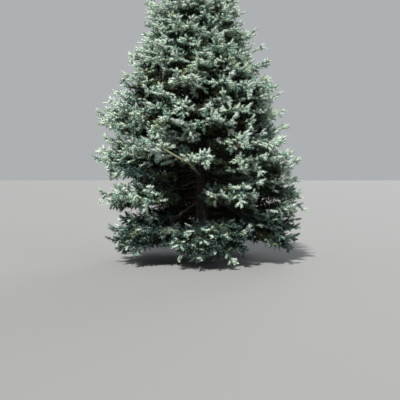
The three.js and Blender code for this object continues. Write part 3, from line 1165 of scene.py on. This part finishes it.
def needles_on(rows, needle):
    """Needles for each shoot: their points and corners, and the number of the shoot that each is on."""
    base, heading, size = rows[:, BASE], unit(rows[:, HEADING]), rows[:, LENGTH]
    fullness = np.interp(rows[:, DEPTH], needle["depths"], needle["fullness"])
    counts = np.maximum((size / needle["step"] * fullness).astype(int), FEWEST_NEEDLES)
    owner = np.repeat(np.arange(len(rows)), counts)
    first_of = np.cumsum(counts) - counts
    number = np.arange(counts.sum()) - first_of[owner]
    share = (number + chance.random(len(owner))) / counts[owner] * (1 + ROSETTE_SHARE)
    angle = number * GOLDEN_TURN + chance.random(len(rows))[owner] * FULL_TURN
    first, second = side_vectors(heading)
    radial = first[owner] * np.cos(angle)[:, None] + second[owner] * np.sin(angle)[:, None]
    in_rosette = share > 1
    share = np.minimum(share, 1)
    lean = LEAN_AT_BASE + (LEAN_AT_TIP - LEAN_AT_BASE) * share ** 2
    lean += chance.normal(0, LEAN_SPREAD, len(owner))
    lean = np.radians(np.where(in_rosette, lean * chance.random(len(owner)), lean))
    along = heading[owner]
    root = base[owner] + along * (size[owner] * share * NEEDLE_ROOTS_END)[:, None]
    root += radial * STEM_THICKNESS / 2
    pointing = radial * np.sin(lean)[:, None] + along * np.cos(lean)[:, None] + np.array([0, 0, NEEDLE_LIFT])
    reach = needle["length"] * (SHORTEST_NEEDLE + LENGTH_SPREAD * chance.random(len(owner)))
    tip = root + unit(pointing) * reach[:, None]
    roll = chance.normal(math.pi / 2, ROLL_SPREAD, len(owner))[:, None]
    half = (np.cross(along, radial) * np.cos(roll) + along * np.sin(roll)) * (needle["width"] / 2)
    points = np.stack([root - half, root + half, tip], axis=1).reshape(-1, 3)
    corners = np.arange(len(points)).reshape(-1, 3)
    return points, corners, owner


CORE_SIDES = 3
CORE_THICKNESS = 0.0200
CORE_GIRTH = 0.62
CORE_ROOT = 0.03
CORE_TIP = 0.016


def cores_in(rows):
    """A closed three-sided spindle inside each shoot, and the number of the shoot that each face is on."""
    base, heading, size = rows[:, BASE], unit(rows[:, HEADING]), rows[:, LENGTH]
    widest = base + heading * (size * CORE_GIRTH)[:, None]
    girth = widest[:, None] + rings(heading, CORE_SIDES) * CORE_THICKNESS
    feet = base - heading * CORE_ROOT
    tips = base + heading * (size + CORE_TIP)[:, None]
    points = np.concatenate([girth, feet[:, None], tips[:, None]], axis=1)
    faces = []
    for side in range(CORE_SIDES):
        after = (side + 1) % CORE_SIDES
        faces += [(after, side, CORE_SIDES), (side, after, CORE_SIDES + 1)]
    return *copies(points, faces), np.repeat(np.arange(len(rows)), len(faces))


# The colours of the new shoots are dealt out by spray, and are darker for an old shoot. A deep shoot is
# darker as painted shade, and a hanging one partly because it is older and greener and partly as painted
# shade on the undersides. The low storeys are darker as painted shade too, for the shade of the crown above
# them: the skirt most of all, down to a darkest tint of its own, apart from a few sprays left pale as if
# lit. Higher up a few sprays are mossy.
TINT_AGES = 3
NEXT_TINT_FROM = 0.55
# Painted shade: how many tints darker each low storey is dealt, for the shade of the crown above it.
PAINTED_SHADE_ZONES = {"skirt": 3.8, "shoulder": 0.6, "arch": 0.2}
# Painted shade: new shoots deeper than this, or hanging below this slope, are dealt one tint darker; a
# hanging shoot is also older and greener.
PAINTED_SHADE_DEPTH = 0.3
HANGING_SLOPE = -0.3
FINE_DEAL = 0.1
LIT_SHARE = 0.2
MOSS_SHARE = 0.06
MOSS_DEPTH = 0.12
TINT_NUMBERS = {name: number for number, name in enumerate(NEW_TINTS)}


def new_tints(zone, rows):
    """The number of the colour of each new shoot in a storey."""
    deal = rows[:, DEAL]
    fine_deal = deal % FINE_DEAL
    darker = (deal + PAINTED_SHADE_ZONES.get(zone, 0)).astype(int)
    if zone == "skirt":
        darker[fine_deal > FINE_DEAL * (1 - LIT_SHARE)] = 0
    tints = np.minimum(rows[:, AGE], TINT_AGES).astype(int) + (deal > NEXT_TINT_FROM) + darker
    # Painted shade: a tint darker deep in the crown and on a hanging shoot.
    tints += (rows[:, DEPTH] > PAINTED_SHADE_DEPTH).astype(int) + (rows[:, HEADING][:, 2] < HANGING_SLOPE)
    tints = np.minimum(tints, TINT_NUMBERS["deep_slate" if zone == "skirt" else "slate"])
    if zone not in PAINTED_SHADE_ZONES:
        tints[(fine_deal < FINE_DEAL * MOSS_SHARE) & (rows[:, DEPTH] > MOSS_DEPTH)] = TINT_NUMBERS["moss"]
    return tints


# The needles of a storey, new ones with their cores and old ones apart, in as many pieces as keep each
# under the limit. Every piece stands in for all the masses of its storey.
MOST_TRIANGLES = 190000
CORES_ALLOWANCE = 1.25

new_paints = [needle_material(name, tint) for name, tint in NEW_TINTS.items()]
old_and_shade_paints = [needle_material(name, tint) for name, tint in OLD_AND_SHADE_TINTS.items()]


def in_pieces(rows, needle):
    count = math.ceil(rows[:, LENGTH].sum() / needle["step"] * CORES_ALLOWANCE / MOST_TRIANGLES)
    return np.array_split(rows, count) if count else []


for zone in zones:
    rows = np.array(shoots[zone])
    is_new = rows[:, DEPTH] < NEW_DEPTH
    nodes_here = [mass.node for mass in masses if mass.zone == zone]
    for number, group in enumerate(in_pieces(rows[is_new], NEW_NEEDLE), 1):
        points, corners, owner = needles_on(group, NEW_NEEDLE)
        core_points, core_corners, core_owner = cores_in(group)
        corners = np.concatenate([corners, core_corners + len(points)])
        points = np.concatenate([points, core_points])
        tints = new_tints(zone, group)[np.concatenate([owner, core_owner])]
        piece = mesh_piece(f"new_needles_{zone}_{number}", points, corners, new_paints, "foliage", tints)
        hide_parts(*nodes_here)
    for number, group in enumerate(in_pieces(rows[~is_new], OLD_NEEDLE), 1):
        points, corners, owner = needles_on(group, OLD_NEEDLE)
        tints = (group[:, DEAL] * len(old_and_shade_paints)).astype(int)[owner]
        piece = mesh_piece(f"old_needles_{zone}_{number}", points, corners, old_and_shade_paints, "foliage", tints)
        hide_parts(*nodes_here)
